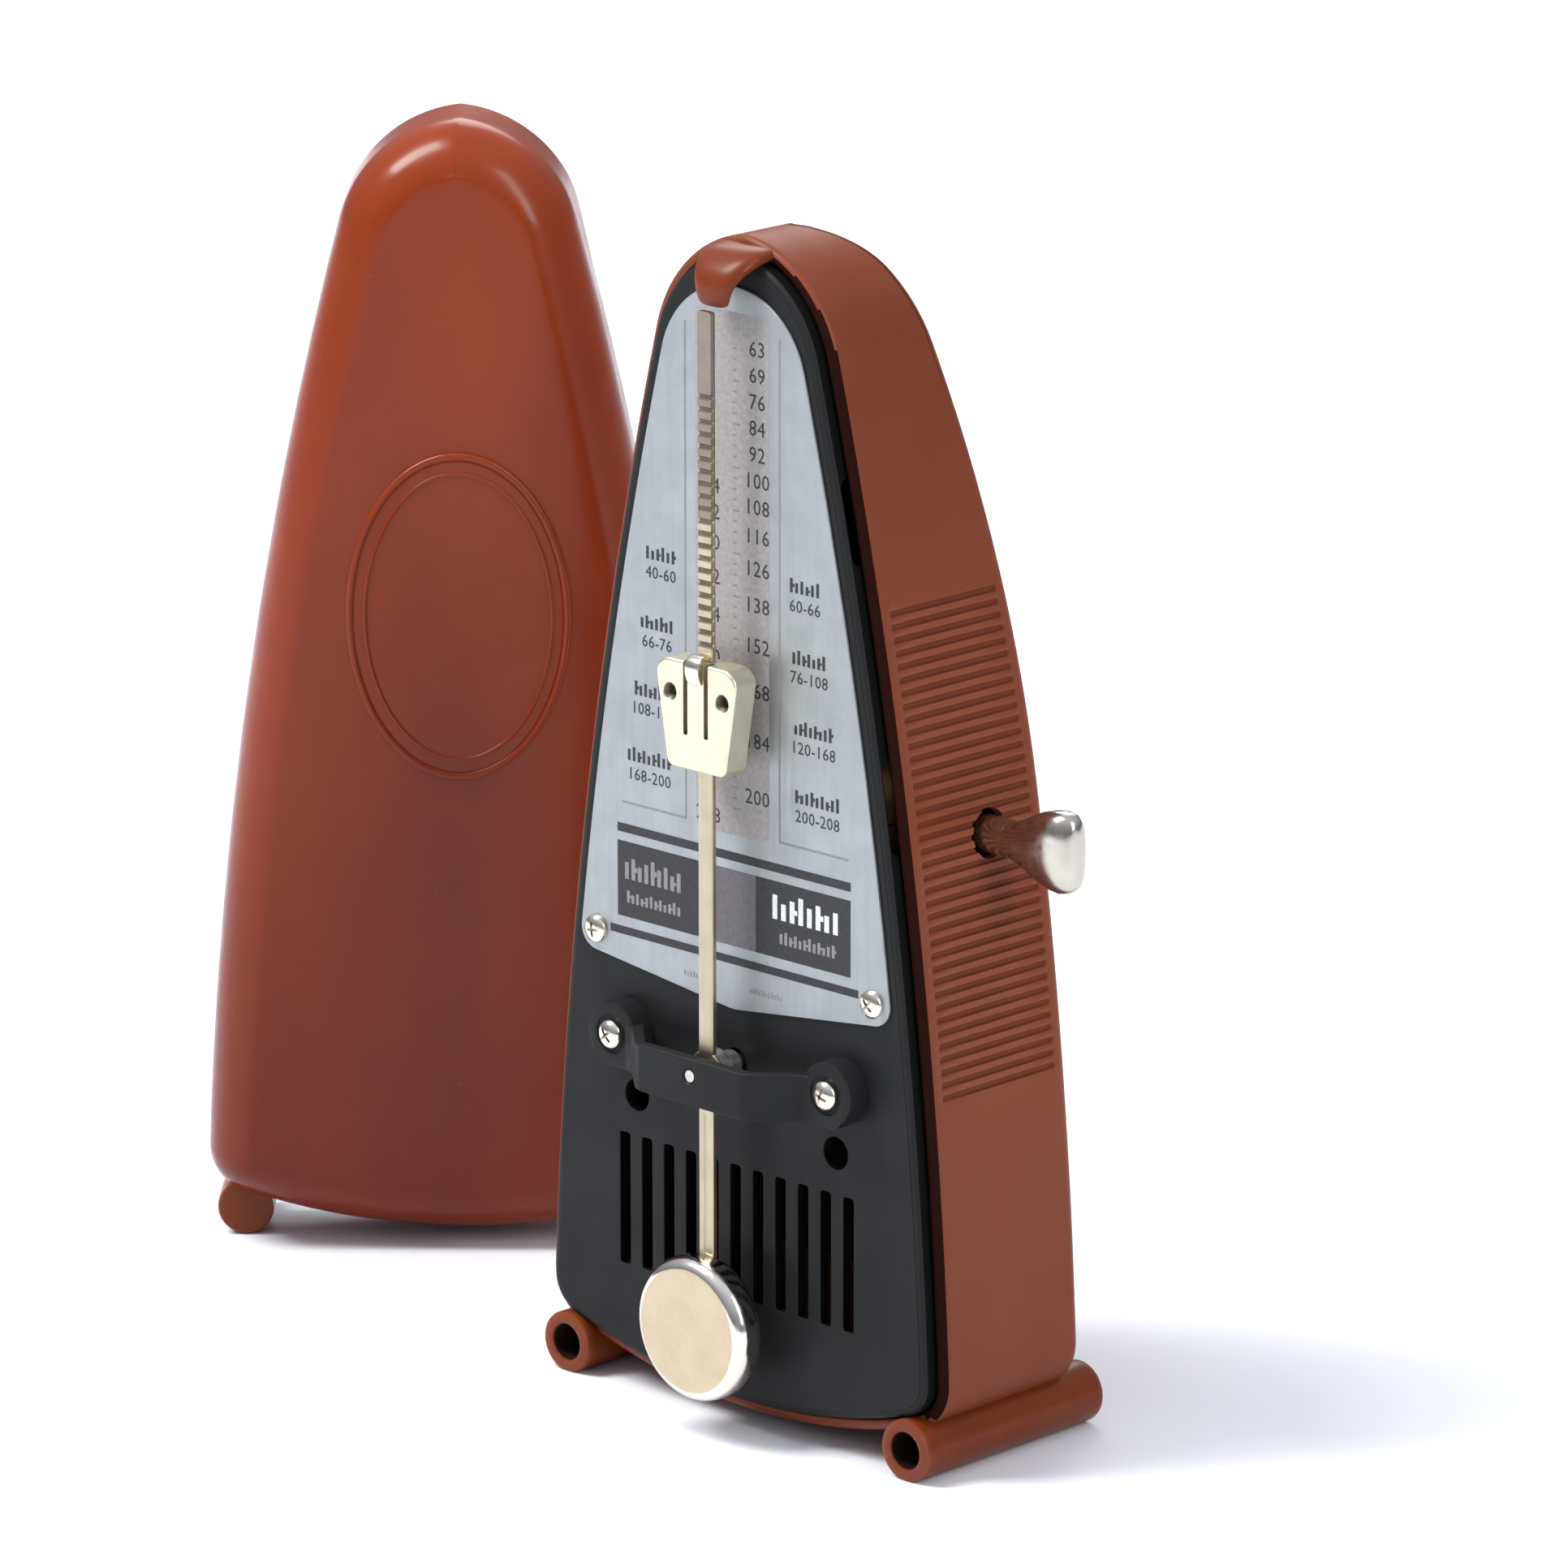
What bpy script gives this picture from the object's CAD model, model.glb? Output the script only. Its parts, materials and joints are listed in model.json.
# Looks of the small wind-up metronome and its lift-off cover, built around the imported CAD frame.
# Shapes are worked out in millimetres, and MM turns them into metres when a mesh is made.
import json
import math
import bmesh
import bpy
from mathutils import Matrix, Vector


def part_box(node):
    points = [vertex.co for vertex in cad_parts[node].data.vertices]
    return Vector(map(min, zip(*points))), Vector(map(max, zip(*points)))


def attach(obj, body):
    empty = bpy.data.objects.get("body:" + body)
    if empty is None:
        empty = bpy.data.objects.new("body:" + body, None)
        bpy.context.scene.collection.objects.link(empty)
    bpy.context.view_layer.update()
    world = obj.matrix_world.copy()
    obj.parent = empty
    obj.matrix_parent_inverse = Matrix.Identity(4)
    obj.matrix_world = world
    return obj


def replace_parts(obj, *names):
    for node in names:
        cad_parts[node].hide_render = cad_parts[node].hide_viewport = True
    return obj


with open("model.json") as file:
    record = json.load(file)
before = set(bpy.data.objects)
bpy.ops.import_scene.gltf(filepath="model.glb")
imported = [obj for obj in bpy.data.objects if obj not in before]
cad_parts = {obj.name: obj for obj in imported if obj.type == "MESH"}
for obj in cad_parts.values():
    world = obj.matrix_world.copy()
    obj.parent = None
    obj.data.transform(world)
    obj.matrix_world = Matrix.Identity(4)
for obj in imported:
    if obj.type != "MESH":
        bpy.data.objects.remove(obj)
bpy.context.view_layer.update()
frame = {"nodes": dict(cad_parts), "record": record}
MM = 0.001


def node_box(node):
    """Lowest and highest corner of a CAD node, in millimetres."""
    low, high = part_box(node)
    return [c / MM for c in low], [c / MM for c in high]


# ---------------- main planes, from the frame
plate_low, plate_high = node_box("scale_plate")
PLATE_Y = plate_low[1]
FACE_Y = plate_high[1]
PANEL_PROUD = 1.8
RIM_Y = FACE_Y + PANEL_PROUD
CASE_DEPTH = 26.0
BACK_Y = RIM_Y + CASE_DEPTH
BACK_BEND = 86.0
BACK_R = 250.0
BACK_ROUND = 5.0
BACK_WALL = 2.0
CASE_WALL = 1.6
CASE_TOP = 160.0
rod_low, rod_high = node_box("pendulum_rod")
bob_low, bob_high = node_box("bob_weight")
slider_low, slider_high = node_box("sliding_weight")
key_low, key_high = node_box("winding_key")
bridge_low = node_box("pivot_bridge")[0]
PIVOT_Z = (node_box("rod_hub")[0][2] + node_box("rod_hub")[1][2]) / 2
KEY_Z = (key_low[2] + key_high[2]) / 2
KEY_Y = (key_low[1] + key_high[1]) / 2
KEY_HOLE_R = 3.3
BOB_R = (bob_high[0] - bob_low[0]) / 2
BOB_Z = (bob_low[2] + bob_high[2]) / 2
SLIDER_Z = (slider_low[2] + slider_high[2]) / 2
RAIL_X = 31.3
RAIL_Z = 4.1
RAIL_R = 4.2
RAIL_HOLE_R = 2.5
RAIL_LEN = 34.0
PLATE_SCREW = (25.1, 63.3)
BRIDGE_SCREW = (19.6, PIVOT_Z + 0.5)
REAR_SCREWS = [(-27, 26), (27, 26), (0, 126)]
COVER_AT = (-90.0, 22.0)
COVER_TURN = 43.0
COVER_WALL = 1.8

# ---------------- outline of the case
SIDE_R = 640.0
SIDE_C = (-603.1, -15.0)
TOP_R = 18.9
TOP_DROP = 14
CORNER_R = 7.0
CORNER_Z = 13.6
BELLY_LOW = 1.5
side_corner_a = math.degrees(math.asin((CORNER_Z - SIDE_C[1]) / SIDE_R))
side_top_a = math.degrees(math.asin((CASE_TOP - TOP_DROP - SIDE_C[1]) / SIDE_R))


def clamp(value):
    return min(max(value, 0), 1)


def on_arc(centre, radius, angle):
    a = math.radians(angle)
    return centre[0] + radius * math.cos(a), centre[1] + radius * math.sin(a)


corner_c = on_arc(SIDE_C, SIDE_R - CORNER_R, side_corner_a)
top_c = on_arc(SIDE_C, SIDE_R - TOP_R, side_top_a)
belly_k = BELLY_LOW + CORNER_R
belly_cz = (belly_k ** 2 - corner_c[0] ** 2 - corner_c[1] ** 2) / (2 * (belly_k - corner_c[1]))
belly_r = belly_cz - BELLY_LOW
belly_a = math.degrees(math.atan2(corner_c[0], belly_cz - corner_c[1]))


def arc(centre, radius, start, end, count):
    return [on_arc(centre, radius, start + (end - start) * i / count) for i in range(count + 1)]


def side_x(z, o=0.0):
    """Half width of the case at a height, moved inward by o."""
    return SIDE_C[0] + math.sqrt((SIDE_R - o) ** 2 - (z - SIDE_C[1]) ** 2)


def side_point(z, o):
    """Point of the side arc that lies at height z before it is moved inward by o."""
    return on_arc(SIDE_C, SIDE_R - o, math.degrees(math.asin((z - SIDE_C[1]) / SIDE_R)))


LEVEL_LOW = 16
LEVEL_SPAN = 128
LEVEL_COUNT = 64
GROOVE_FIRST = 50.9
GROOVE_PITCH = 1.69
GROOVE_COUNT = 38


def plain_levels():
    """Heights at which the side arc gets a point, each with a groove share of 0."""
    return [(LEVEL_LOW + LEVEL_SPAN * i / LEVEL_COUNT, 0) for i in range(LEVEL_COUNT + 1)]


def grooved_levels():
    """Side heights with four points for each grip groove: two at its lips and two at its floor."""
    levels = [(LEVEL_LOW + 5 * i, 0) for i in range(7)]
    for i in range(GROOVE_COUNT):
        z = GROOVE_FIRST + i * GROOVE_PITCH
        levels += [(z - 0.04, 0), (z + 0.17, 1), (z + 0.62, 1), (z + 0.85, 0)]
    return levels + [(116 + 4 * i, 0) for i in range(8)]


def half_outline(o, levels, groove=0.0, fine=1):
    """Right half of the case outline from the belly to the peak, moved inward by o."""
    peak_a = math.degrees(math.acos(-top_c[0] / (TOP_R - o)))
    points = arc((0, belly_cz), belly_r - o, -90, belly_a - 90, 12 * fine)
    points += arc(corner_c, CORNER_R - o, belly_a - 90, side_corner_a, 9 * fine)[1:]
    points += [side_point(z, o + groove * share) for z, share in levels]
    points += arc(top_c, TOP_R - o, side_top_a, peak_a, 16 * fine)
    return points


def whole(half):
    """Closed outline from its right half, which starts and ends on the middle line."""
    half = [(0.0, half[0][1])] + half[1:-1] + [(0.0, half[-1][1])]
    return half + [(-x, z) for x, z in reversed(half[1:-1])]


def back_at(z):
    """Depth of the case back at a height: flat, then curving forward, rounded into the top."""
    if z <= BACK_BEND:
        return BACK_Y
    y = BACK_Y - BACK_R + math.sqrt(BACK_R ** 2 - (z - BACK_BEND) ** 2)
    t = clamp((z - CASE_TOP + BACK_ROUND) / (BACK_ROUND + 0.05))
    return y - BACK_ROUND * (1 - math.sqrt(1 - t * t))


# ---------------- mesh helpers
scene = bpy.context.scene


def add_piece(name, mesh, materials, smooth=40):
    """Object from a mesh in millimetres, with smooth shading that breaks at sharp edges."""
    mesh.transform(Matrix.Scale(MM, 4))
    tool = bmesh.new()
    tool.from_mesh(mesh)
    bmesh.ops.recalc_face_normals(tool, faces=tool.faces)
    tool.to_mesh(mesh)
    tool.free()
    mesh.shade_smooth()
    mesh.set_sharp_from_angle(angle=math.radians(smooth))
    mesh.materials.clear()
    for material in materials:
        mesh.materials.append(material)
    piece = bpy.data.objects.new(name, mesh)
    scene.collection.objects.link(piece)
    weighted = piece.modifiers.new("weighted", "WEIGHTED_NORMAL")
    weighted.keep_sharp = True
    return piece


def flat_fronts(piece):
    """Shades the faces that lie square to the front as true planes."""
    for polygon in piece.data.polygons:
        if abs(polygon.normal.y) > 0.9995:
            polygon.use_smooth = False


def paint(piece, index, inside):
    """Gives a material of the piece to the faces whose middle, in millimetres, passes the test."""
    for polygon in piece.data.polygons:
        if inside(polygon.center / MM):
            polygon.material_index = index


def mesh_of(name, verts, faces):
    mesh = bpy.data.meshes.new(name)
    mesh.from_pydata([tuple(v) for v in verts], [], faces)
    mesh.validate()
    return mesh


def weld(mesh, distance=0.002):
    """Merges points that coincide and drops faces left without area."""
    tool = bmesh.new()
    tool.from_mesh(mesh)
    bmesh.ops.remove_doubles(tool, verts=tool.verts, dist=distance)
    bmesh.ops.dissolve_degenerate(tool, edges=tool.edges, dist=distance / 10)
    bmesh.ops.recalc_face_normals(tool, faces=tool.faces)
    tool.to_mesh(mesh)
    tool.free()
    return mesh


def loft(rings, cap_ends=True, wrap=False):
    """Mesh through rings of equal length; the ends are capped, or joined to each other by wrap."""
    n = len(rings[0])
    verts = [v for ring in rings for v in ring]
    faces = []
    last = len(rings) if wrap else len(rings) - 1
    for k in range(last):
        a, b = k * n, (k + 1) % len(rings) * n
        faces += [(a + i, a + (i + 1) % n, b + (i + 1) % n, b + i) for i in range(n)]
    if cap_ends and not wrap:
        faces += [tuple(range(n))[::-1], tuple((len(rings) - 1) * n + i for i in range(n))]
    return weld(mesh_of("loft", verts, faces))


def lathe_y(profile, x, z, segments, closed=False):
    """Surface turned about an axis along Y. The profile is a list of (radius, y)."""
    rings = []
    for r, y in profile:
        angles = [2 * math.pi * i / segments for i in range(segments)]
        rings.append([(x + max(r, 1e-4) * math.cos(a), y, z + max(r, 1e-4) * math.sin(a)) for a in angles])
    return loft(rings, wrap=closed)


AXES = {
    "front": Matrix(((1, 0, 0, 0), (0, 0, -1, 0), (0, 1, 0, 0), (0, 0, 0, 1))),
    "top": Matrix.Identity(4),
    "side": Matrix(((0, 0, 1, 0), (1, 0, 0, 0), (0, 1, 0, 0), (0, 0, 0, 1))),
}


def baked(curve):
    """Mesh of a curve or a text, with its thickness and bevel."""
    holder = bpy.data.objects.new(curve.name, curve)
    scene.collection.objects.link(holder)
    graph = bpy.context.evaluated_depsgraph_get()
    mesh = bpy.data.meshes.new_from_object(holder.evaluated_get(graph))
    bpy.data.objects.remove(holder)
    return mesh


def slab(loops, low, high, bevel, facing="front", rounds=2):
    """Plate cut along 2-D loops, holes after the outline, with rounded edges on both faces.
    It spans low to high along Y (front), Z (top) or X (side)."""
    curve = bpy.data.curves.new("slab", "CURVE")
    curve.dimensions = "2D"
    curve.fill_mode = "BOTH"
    curve.extrude = (high - low) / 2 - bevel
    curve.bevel_depth = bevel
    curve.bevel_resolution = rounds
    curve.offset = -bevel
    for loop in loops:
        spline = curve.splines.new("POLY")
        spline.points.add(len(loop) - 1)
        for point, (u, v) in zip(spline.points, loop):
            point.co = (u, v, 0, 1)
        spline.use_cyclic_u = True
    mesh = baked(curve)
    middle = (low + high) / 2
    shift = {"front": (0, middle, 0), "top": (0, 0, middle), "side": (middle, 0, 0)}[facing]
    mesh.transform(Matrix.Translation(shift) @ AXES[facing])
    return weld(mesh)


def circle(u, v, r):
    count = 48
    return [(u + r * math.cos(2 * math.pi * i / count), v + r * math.sin(2 * math.pi * i / count))
            for i in range(count)]


def box_loop(u0, u1, v0, v1):
    return [(u0, v0), (u1, v0), (u1, v1), (u0, v1)]


def rounded_loop(points, radius, count=5):
    """Polygon with each corner replaced by a curve that starts radius away from it."""
    loop = []
    for i, p in enumerate(points):
        corner = Vector(p)
        before = Vector(points[i - 1]) - corner
        after = Vector(points[(i + 1) % len(points)]) - corner
        a = corner + before.normalized() * min(radius, before.length / 2)
        b = corner + after.normalized() * min(radius, after.length / 2)
        for k in range(count + 1):
            t = k / count
            loop.append(tuple((1 - t) ** 2 * a + 2 * t * (1 - t) * corner + t * t * b))
    return loop


def boolean(mesh, tool_mesh, operation="DIFFERENCE"):
    """Exact boolean of two meshes in millimetres."""
    a = bpy.data.objects.new("a", mesh)
    b = bpy.data.objects.new("b", tool_mesh)
    for piece in (a, b):
        scene.collection.objects.link(piece)
    modifier = a.modifiers.new("cut", "BOOLEAN")
    modifier.object = b
    modifier.operation = operation
    modifier.solver = "EXACT"
    graph = bpy.context.evaluated_depsgraph_get()
    result = bpy.data.meshes.new_from_object(a.evaluated_get(graph))
    for piece in (a, b):
        bpy.data.objects.remove(piece)
    return result


def joined(meshes):
    tool = bmesh.new()
    for mesh in meshes:
        tool.from_mesh(mesh)
    result = bpy.data.meshes.new("joined")
    tool.to_mesh(result)
    tool.free()
    return result


def mirrored(mesh):
    """The mesh together with its mirror image across the middle plane."""
    other = mesh.copy()
    other.transform(Matrix.Scale(-1, 4, (1, 0, 0)))
    other.flip_normals()
    return joined([mesh, other])


def above_table(mesh):
    """Flattens what would reach below the table."""
    for v in mesh.vertices:
        v.co.z = max(v.co.z, 0.0)


def bulge(value, power):
    """Power of a sine or cosine that keeps its sign, for rings between an ellipse and a box."""
    return math.copysign(abs(value) ** power, value)


def along_path(path, i):
    """Direction of a path in the middle plane at one of its points, which start with y and z."""
    before, after = path[max(i - 1, 0)], path[min(i + 1, len(path) - 1)]
    return Vector((0, after[0] - before[0], after[1] - before[1])).normalized()


# ---------------- materials
def new_material(name):
    material = bpy.data.materials.new(name)
    material.use_nodes = True
    tree = material.node_tree
    shader = next(n for n in tree.nodes if n.type == "BSDF_PRINCIPLED")
    coords = tree.nodes.new("ShaderNodeTexCoord")
    return material, tree, shader, coords.outputs["Object"]


def noise(tree, coords, scale, detail, stretch=(1, 1, 1)):
    mapping = tree.nodes.new("ShaderNodeMapping")
    mapping.inputs["Scale"].default_value = stretch
    tree.links.new(coords, mapping.inputs["Vector"])
    texture = tree.nodes.new("ShaderNodeTexNoise")
    texture.inputs["Scale"].default_value = scale
    texture.inputs["Detail"].default_value = detail
    tree.links.new(mapping.outputs["Vector"], texture.inputs["Vector"])
    return texture.outputs["Fac"]


def spread(tree, value, low, high, start=0.3, end=0.7):
    """Maps a noise value to a range."""
    node = tree.nodes.new("ShaderNodeMapRange")
    for name, number in zip(("From Min", "From Max", "To Min", "To Max"), (start, end, low, high)):
        node.inputs[name].default_value = number
    tree.links.new(value, node.inputs["Value"])
    return node.outputs["Result"]


def mix_colours(tree, value, first, second, mode="MIX"):
    """Mixes a second colour into the first, which is a colour or a node's output."""
    node = tree.nodes.new("ShaderNodeMix")
    node.data_type = "RGBA"
    node.blend_type = mode
    node.inputs["B"].default_value = (*second, 1)
    if isinstance(first, tuple):
        node.inputs["A"].default_value = (*first, 1)
    else:
        tree.links.new(first, node.inputs["A"])
    tree.links.new(value, node.inputs["Factor"])
    return node.outputs["Result"]


def add_bump(tree, shader, heights):
    """Chains bumps; each height is (value, strength, distance in metres)."""
    normal = None
    for value, strength, distance in heights:
        node = tree.nodes.new("ShaderNodeBump")
        node.inputs["Strength"].default_value = strength
        node.inputs["Distance"].default_value = distance
        tree.links.new(value, node.inputs["Height"])
        if normal is not None:
            tree.links.new(normal, node.inputs["Normal"])
        normal = node.outputs["Normal"]
    tree.links.new(normal, shader.inputs["Normal"])


def height_fade(tree, coords, colour, tint, low, high):
    """Multiplies a colour by a tint that fades out from one height to another, in metres."""
    axes = tree.nodes.new("ShaderNodeSeparateXYZ")
    tree.links.new(coords, axes.inputs["Vector"])
    amount = spread(tree, axes.outputs["Z"], 1, 0, low, high)
    return mix_colours(tree, amount, colour, tint, "MULTIPLY")


def plastic(name, light, dark, rough, grain, waves=0.0, coat=0.0, gloss=0.2, worn=None, fade=None):
    """Moulded plastic: slow colour drift, fine grain, uneven gloss and lighter worn edges."""
    material, tree, shader, coords = new_material(name)
    drift = noise(tree, coords, 35, 4, (1, 1, 0.45))
    colour = mix_colours(tree, spread(tree, drift, 0, 1), light, dark)
    if worn is not None:
        geometry = tree.nodes.new("ShaderNodeNewGeometry")
        edge = spread(tree, geometry.outputs["Pointiness"], 0, 0.8, 0.52, 0.62)
        colour = mix_colours(tree, edge, colour, worn)
    if fade is not None:
        colour = height_fade(tree, coords, colour, fade, 0.01, 0.15)
    tree.links.new(colour, shader.inputs["Base Color"])
    patches = noise(tree, coords, 140, 5)
    tree.links.new(spread(tree, patches, rough - 0.05, rough + 0.07), shader.inputs["Roughness"])
    heights = [(noise(tree, coords, 1600, 2), grain, 0.00004)]
    if waves:
        heights.append((noise(tree, coords, 22, 2), waves, 0.0006))
    add_bump(tree, shader, heights)
    shader.inputs["IOR"].default_value = 1.49
    shader.inputs["Specular IOR Level"].default_value = gloss
    if coat:
        shader.inputs["Coat Weight"].default_value = coat
        shader.inputs["Coat Roughness"].default_value = 0.08
    return material


def metal(name, light, dark, rough, brush=(1, 1, 1), brush_scale=900.0, strength=0.12):
    """Metal with brushing or fine orange peel, small tone changes and faint handling marks."""
    material, tree, shader, coords = new_material(name)
    shader.inputs["Metallic"].default_value = 1.0
    tone = noise(tree, coords, 260, 5)
    tree.links.new(mix_colours(tree, spread(tree, tone, 0, 1), light, dark), shader.inputs["Base Color"])
    lines = noise(tree, coords, brush_scale, 4, brush)
    smudge = noise(tree, coords, 90, 3)
    total = tree.nodes.new("ShaderNodeMath")
    total.operation = "ADD"
    tree.links.new(spread(tree, lines, rough - 0.04, rough + 0.08), total.inputs[0])
    tree.links.new(spread(tree, smudge, 0, 0.05), total.inputs[1])
    tree.links.new(total.outputs["Value"], shader.inputs["Roughness"])
    add_bump(tree, shader, [(lines, strength, 0.00003)])
    return material


def print_ink(name, colour, rough=0.55):
    """Printed ink with slightly uneven coverage."""
    material, tree, shader, coords = new_material(name)
    cover = noise(tree, coords, 1500, 3)
    faded = tuple(c * 1.25 + 0.015 for c in colour)
    tree.links.new(mix_colours(tree, spread(tree, cover, 0, 1), colour, faded), shader.inputs["Base Color"])
    tree.links.new(spread(tree, cover, rough - 0.05, rough + 0.05), shader.inputs["Roughness"])
    return material


brown = plastic("brown_plastic", (0.195, 0.045, 0.017), (0.165, 0.036, 0.014), 0.42, 0.22,
                worn=(0.30, 0.085, 0.045))
brown_back = plastic("brown_back", (0.195, 0.045, 0.017), (0.165, 0.036, 0.014), 0.42, 0.22)
brown_groove = plastic("brown_groove", (0.16, 0.036, 0.014), (0.13, 0.029, 0.012), 0.6, 0.22)
brown_rim = plastic("brown_rim", (0.020, 0.004, 0.002), (0.014, 0.003, 0.002), 0.7, 0.22, gloss=0.05)
brown_bore = plastic("brown_bore", (0.016, 0.005, 0.003), (0.010, 0.003, 0.002), 0.7, 0.22)
brown_rail = plastic("brown_rail", (0.180, 0.034, 0.009), (0.14, 0.025, 0.006), 0.3, 0.12, gloss=0.2,
                     worn=(0.34, 0.10, 0.05))
brown_cover = plastic("brown_cover", (0.290, 0.044, 0.008), (0.200, 0.027, 0.007), 0.22, 0.05,
                      waves=0.05, coat=0.06, gloss=0.22, fade=(0.66, 0.56, 0.75))
black = plastic("black_plastic", (0.0135, 0.014, 0.0145), (0.010, 0.0105, 0.011), 0.5, 0.3)
black_edge = plastic("black_edge", (0.005, 0.005, 0.005), (0.004, 0.004, 0.004), 0.75, 0.2, gloss=0.05)
plate_metal = metal("plate_metal", (0.45, 0.475, 0.48), (0.40, 0.42, 0.425), 0.5, (1, 1, 0.06), 1400, 0.08)
nickel = metal("nickel", (0.84, 0.80, 0.70), (0.74, 0.69, 0.58), 0.14, strength=0.05)
chrome = metal("key_chrome", (0.60, 0.57, 0.50), (0.52, 0.49, 0.43), 0.16, strength=0.02)
rod_metal = metal("rod_metal", (0.56, 0.49, 0.355), (0.49, 0.43, 0.31), 0.34, (1, 1, 0.04), 1600, 0.2)
rod_shade = metal("rod_shade", (0.24, 0.20, 0.15), (0.16, 0.13, 0.10), 0.5, (1, 1, 0.2), 1600, 0.2)
rod_dull = metal("rod_dull", (0.34, 0.30, 0.235), (0.28, 0.245, 0.19), 0.45, (1, 1, 0.04), 1600, 0.2)
slider_metal = metal("slider_metal", (0.83, 0.77, 0.59), (0.75, 0.69, 0.52), 0.36, (1, 1, 1), 1500, 0.25)
bob_face = metal("bob_face", (0.74, 0.63, 0.46), (0.68, 0.575, 0.415), 0.5, (1, 1, 1), 1300, 0.3)
bob_side = metal("bob_side", (0.86, 0.82, 0.74), (0.78, 0.74, 0.66), 0.1, strength=0.04)
brass = metal("movement_brass", (0.70, 0.50, 0.22), (0.58, 0.40, 0.16), 0.3, (1, 0.05, 1), 1500, 0.15)
steel = metal("movement_steel", (0.70, 0.68, 0.64), (0.58, 0.56, 0.52), 0.34, (0.05, 1, 1), 1500, 0.15)
ink_black = print_ink("ink_black", (0.012, 0.012, 0.014))
ink_grey = print_ink("ink_grey", (0.11, 0.10, 0.11))
ink_band = print_ink("ink_band", (0.30, 0.28, 0.27), 0.45)
ink_pale = print_ink("ink_pale", (0.62, 0.63, 0.64), 0.45)
ink_dim = print_ink("ink_dim", (0.20, 0.19, 0.20), 0.5)

# Carried-over CAD nodes take the finish of their slot
slot_finish = {
    "brown_plastic": brown, "brown_gloss": brown_cover, "black_plastic": black,
    "scale_metal": plate_metal, "nickel_screws": nickel, "movement_brass": brass,
    "movement_steel": steel, "key_chrome": chrome, "nickel_rod": rod_metal,
    "bob_plated": bob_side, "slider_alloy": slider_metal,
}
node_slot = {s["node"]: s["material_slot"] for s in frame["record"]["subparts"]}
node_body = {n: body for body, nodes in frame["record"]["behaviour"]["bodies"].items() for n in nodes}
for node, cad_object in frame["nodes"].items():
    cad_object.data.materials.clear()
    cad_object.data.materials.append(slot_finish[node_slot[node]])


def fit(piece, *nodes):
    """The piece rides on the body of the CAD nodes that it stands for and takes their slot."""
    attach(piece, node_body[nodes[0]])
    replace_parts(piece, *nodes)
    return piece


def detail(piece, node):
    """The piece rides with a node but doesn't replace it."""
    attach(piece, node_body[node])
    return piece


# ---------------- case
def case_ring(o, y_of, groove=0.0, squeeze=1.0):
    """Ring of the case moved inward by o; y_of gives its depth at each height."""
    points = whole(half_outline(o, grooved_levels(), groove))
    return [(x * squeeze, y_of(z), z) for x, z in points]


def from_rim(distance):
    return lambda z: RIM_Y + distance


def share(f):
    """Depth at a share of the way from the rim to the back."""
    return lambda z: RIM_Y + (back_at(z) - RIM_Y) * f


def from_back(distance):
    return lambda z: back_at(z) - distance


GROOVE_DEPTH = 0.38
RIM_ROUND = 1.0
BACK_EDGE = 1.6
MIDDLE_INSET = 6.5
RECESS_R = 2.3
RECESS_DEPTH = 1.4


def make_case():
    inner = from_back(BACK_WALL)
    rows = [case_ring(MIDDLE_INSET, inner, 0, s) for s in (0, 0.3, 0.65, 1)]
    rows += [case_ring(2.6, inner), case_ring(1.8, from_back(BACK_WALL + 0.6))]
    rows += [case_ring(CASE_WALL, share(0.8)), case_ring(CASE_WALL, from_rim(0.3))]
    rows += [case_ring(1.5, from_rim(0.08)), case_ring(1.3, from_rim(0)), case_ring(RIM_ROUND, from_rim(0))]
    for k in range(1, 6):
        a = math.radians(18 * k)
        rows.append(case_ring(RIM_ROUND * (1 - math.sin(a)), from_rim(RIM_ROUND * (1 - math.cos(a)))))
    rows += [case_ring(0, from_rim(2.2))]
    rows += [case_ring(0, from_rim(2.5), GROOVE_DEPTH)]
    rows += [case_ring(0, share(f), GROOVE_DEPTH) for f in (0.3, 0.5, 0.7, 0.895)]
    rows += [case_ring(0, share(0.905)), case_ring(0, share(0.925))]
    for k in range(6):
        a = math.radians(18 * k)
        rows.append(case_ring(BACK_EDGE * (1 - math.cos(a)), from_back(BACK_EDGE * (1 - math.sin(a)))))
    rows += [case_ring(MIDDLE_INSET, from_back(0), 0, s) for s in (1, 0.65, 0.3, 0)]
    shell = loft(rows, cap_ends=False)
    key_hole = slab([circle(KEY_Y, KEY_Z, KEY_HOLE_R)], 25, 45, 0.01, "side", 0)
    shell = boolean(shell, key_hole)
    for x, z in REAR_SCREWS:
        floor, clear = back_at(z) - RECESS_DEPTH, back_at(z) + 2
        recess = [(0, floor), (RECESS_R, floor), (RECESS_R, clear), (0, clear)]
        shell = boolean(shell, lathe_y(recess, x, z, 48))
    return shell


def make_rail(x):
    end = RAIL_LEN / 2
    half = [(RAIL_HOLE_R, end - 0.35), (RAIL_HOLE_R + 0.12, end - 0.08), (RAIL_HOLE_R + 0.35, end),
            (RAIL_R - 0.45, end), (RAIL_R - 0.12, end - 0.13), (RAIL_R, end - 0.45), (RAIL_R, end - 1.2)]
    profile = half + [(r, -y) for r, y in reversed(half)]
    mesh = lathe_y(profile, x, RAIL_Z, 64, closed=True)
    above_table(mesh)
    return mesh


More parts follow.
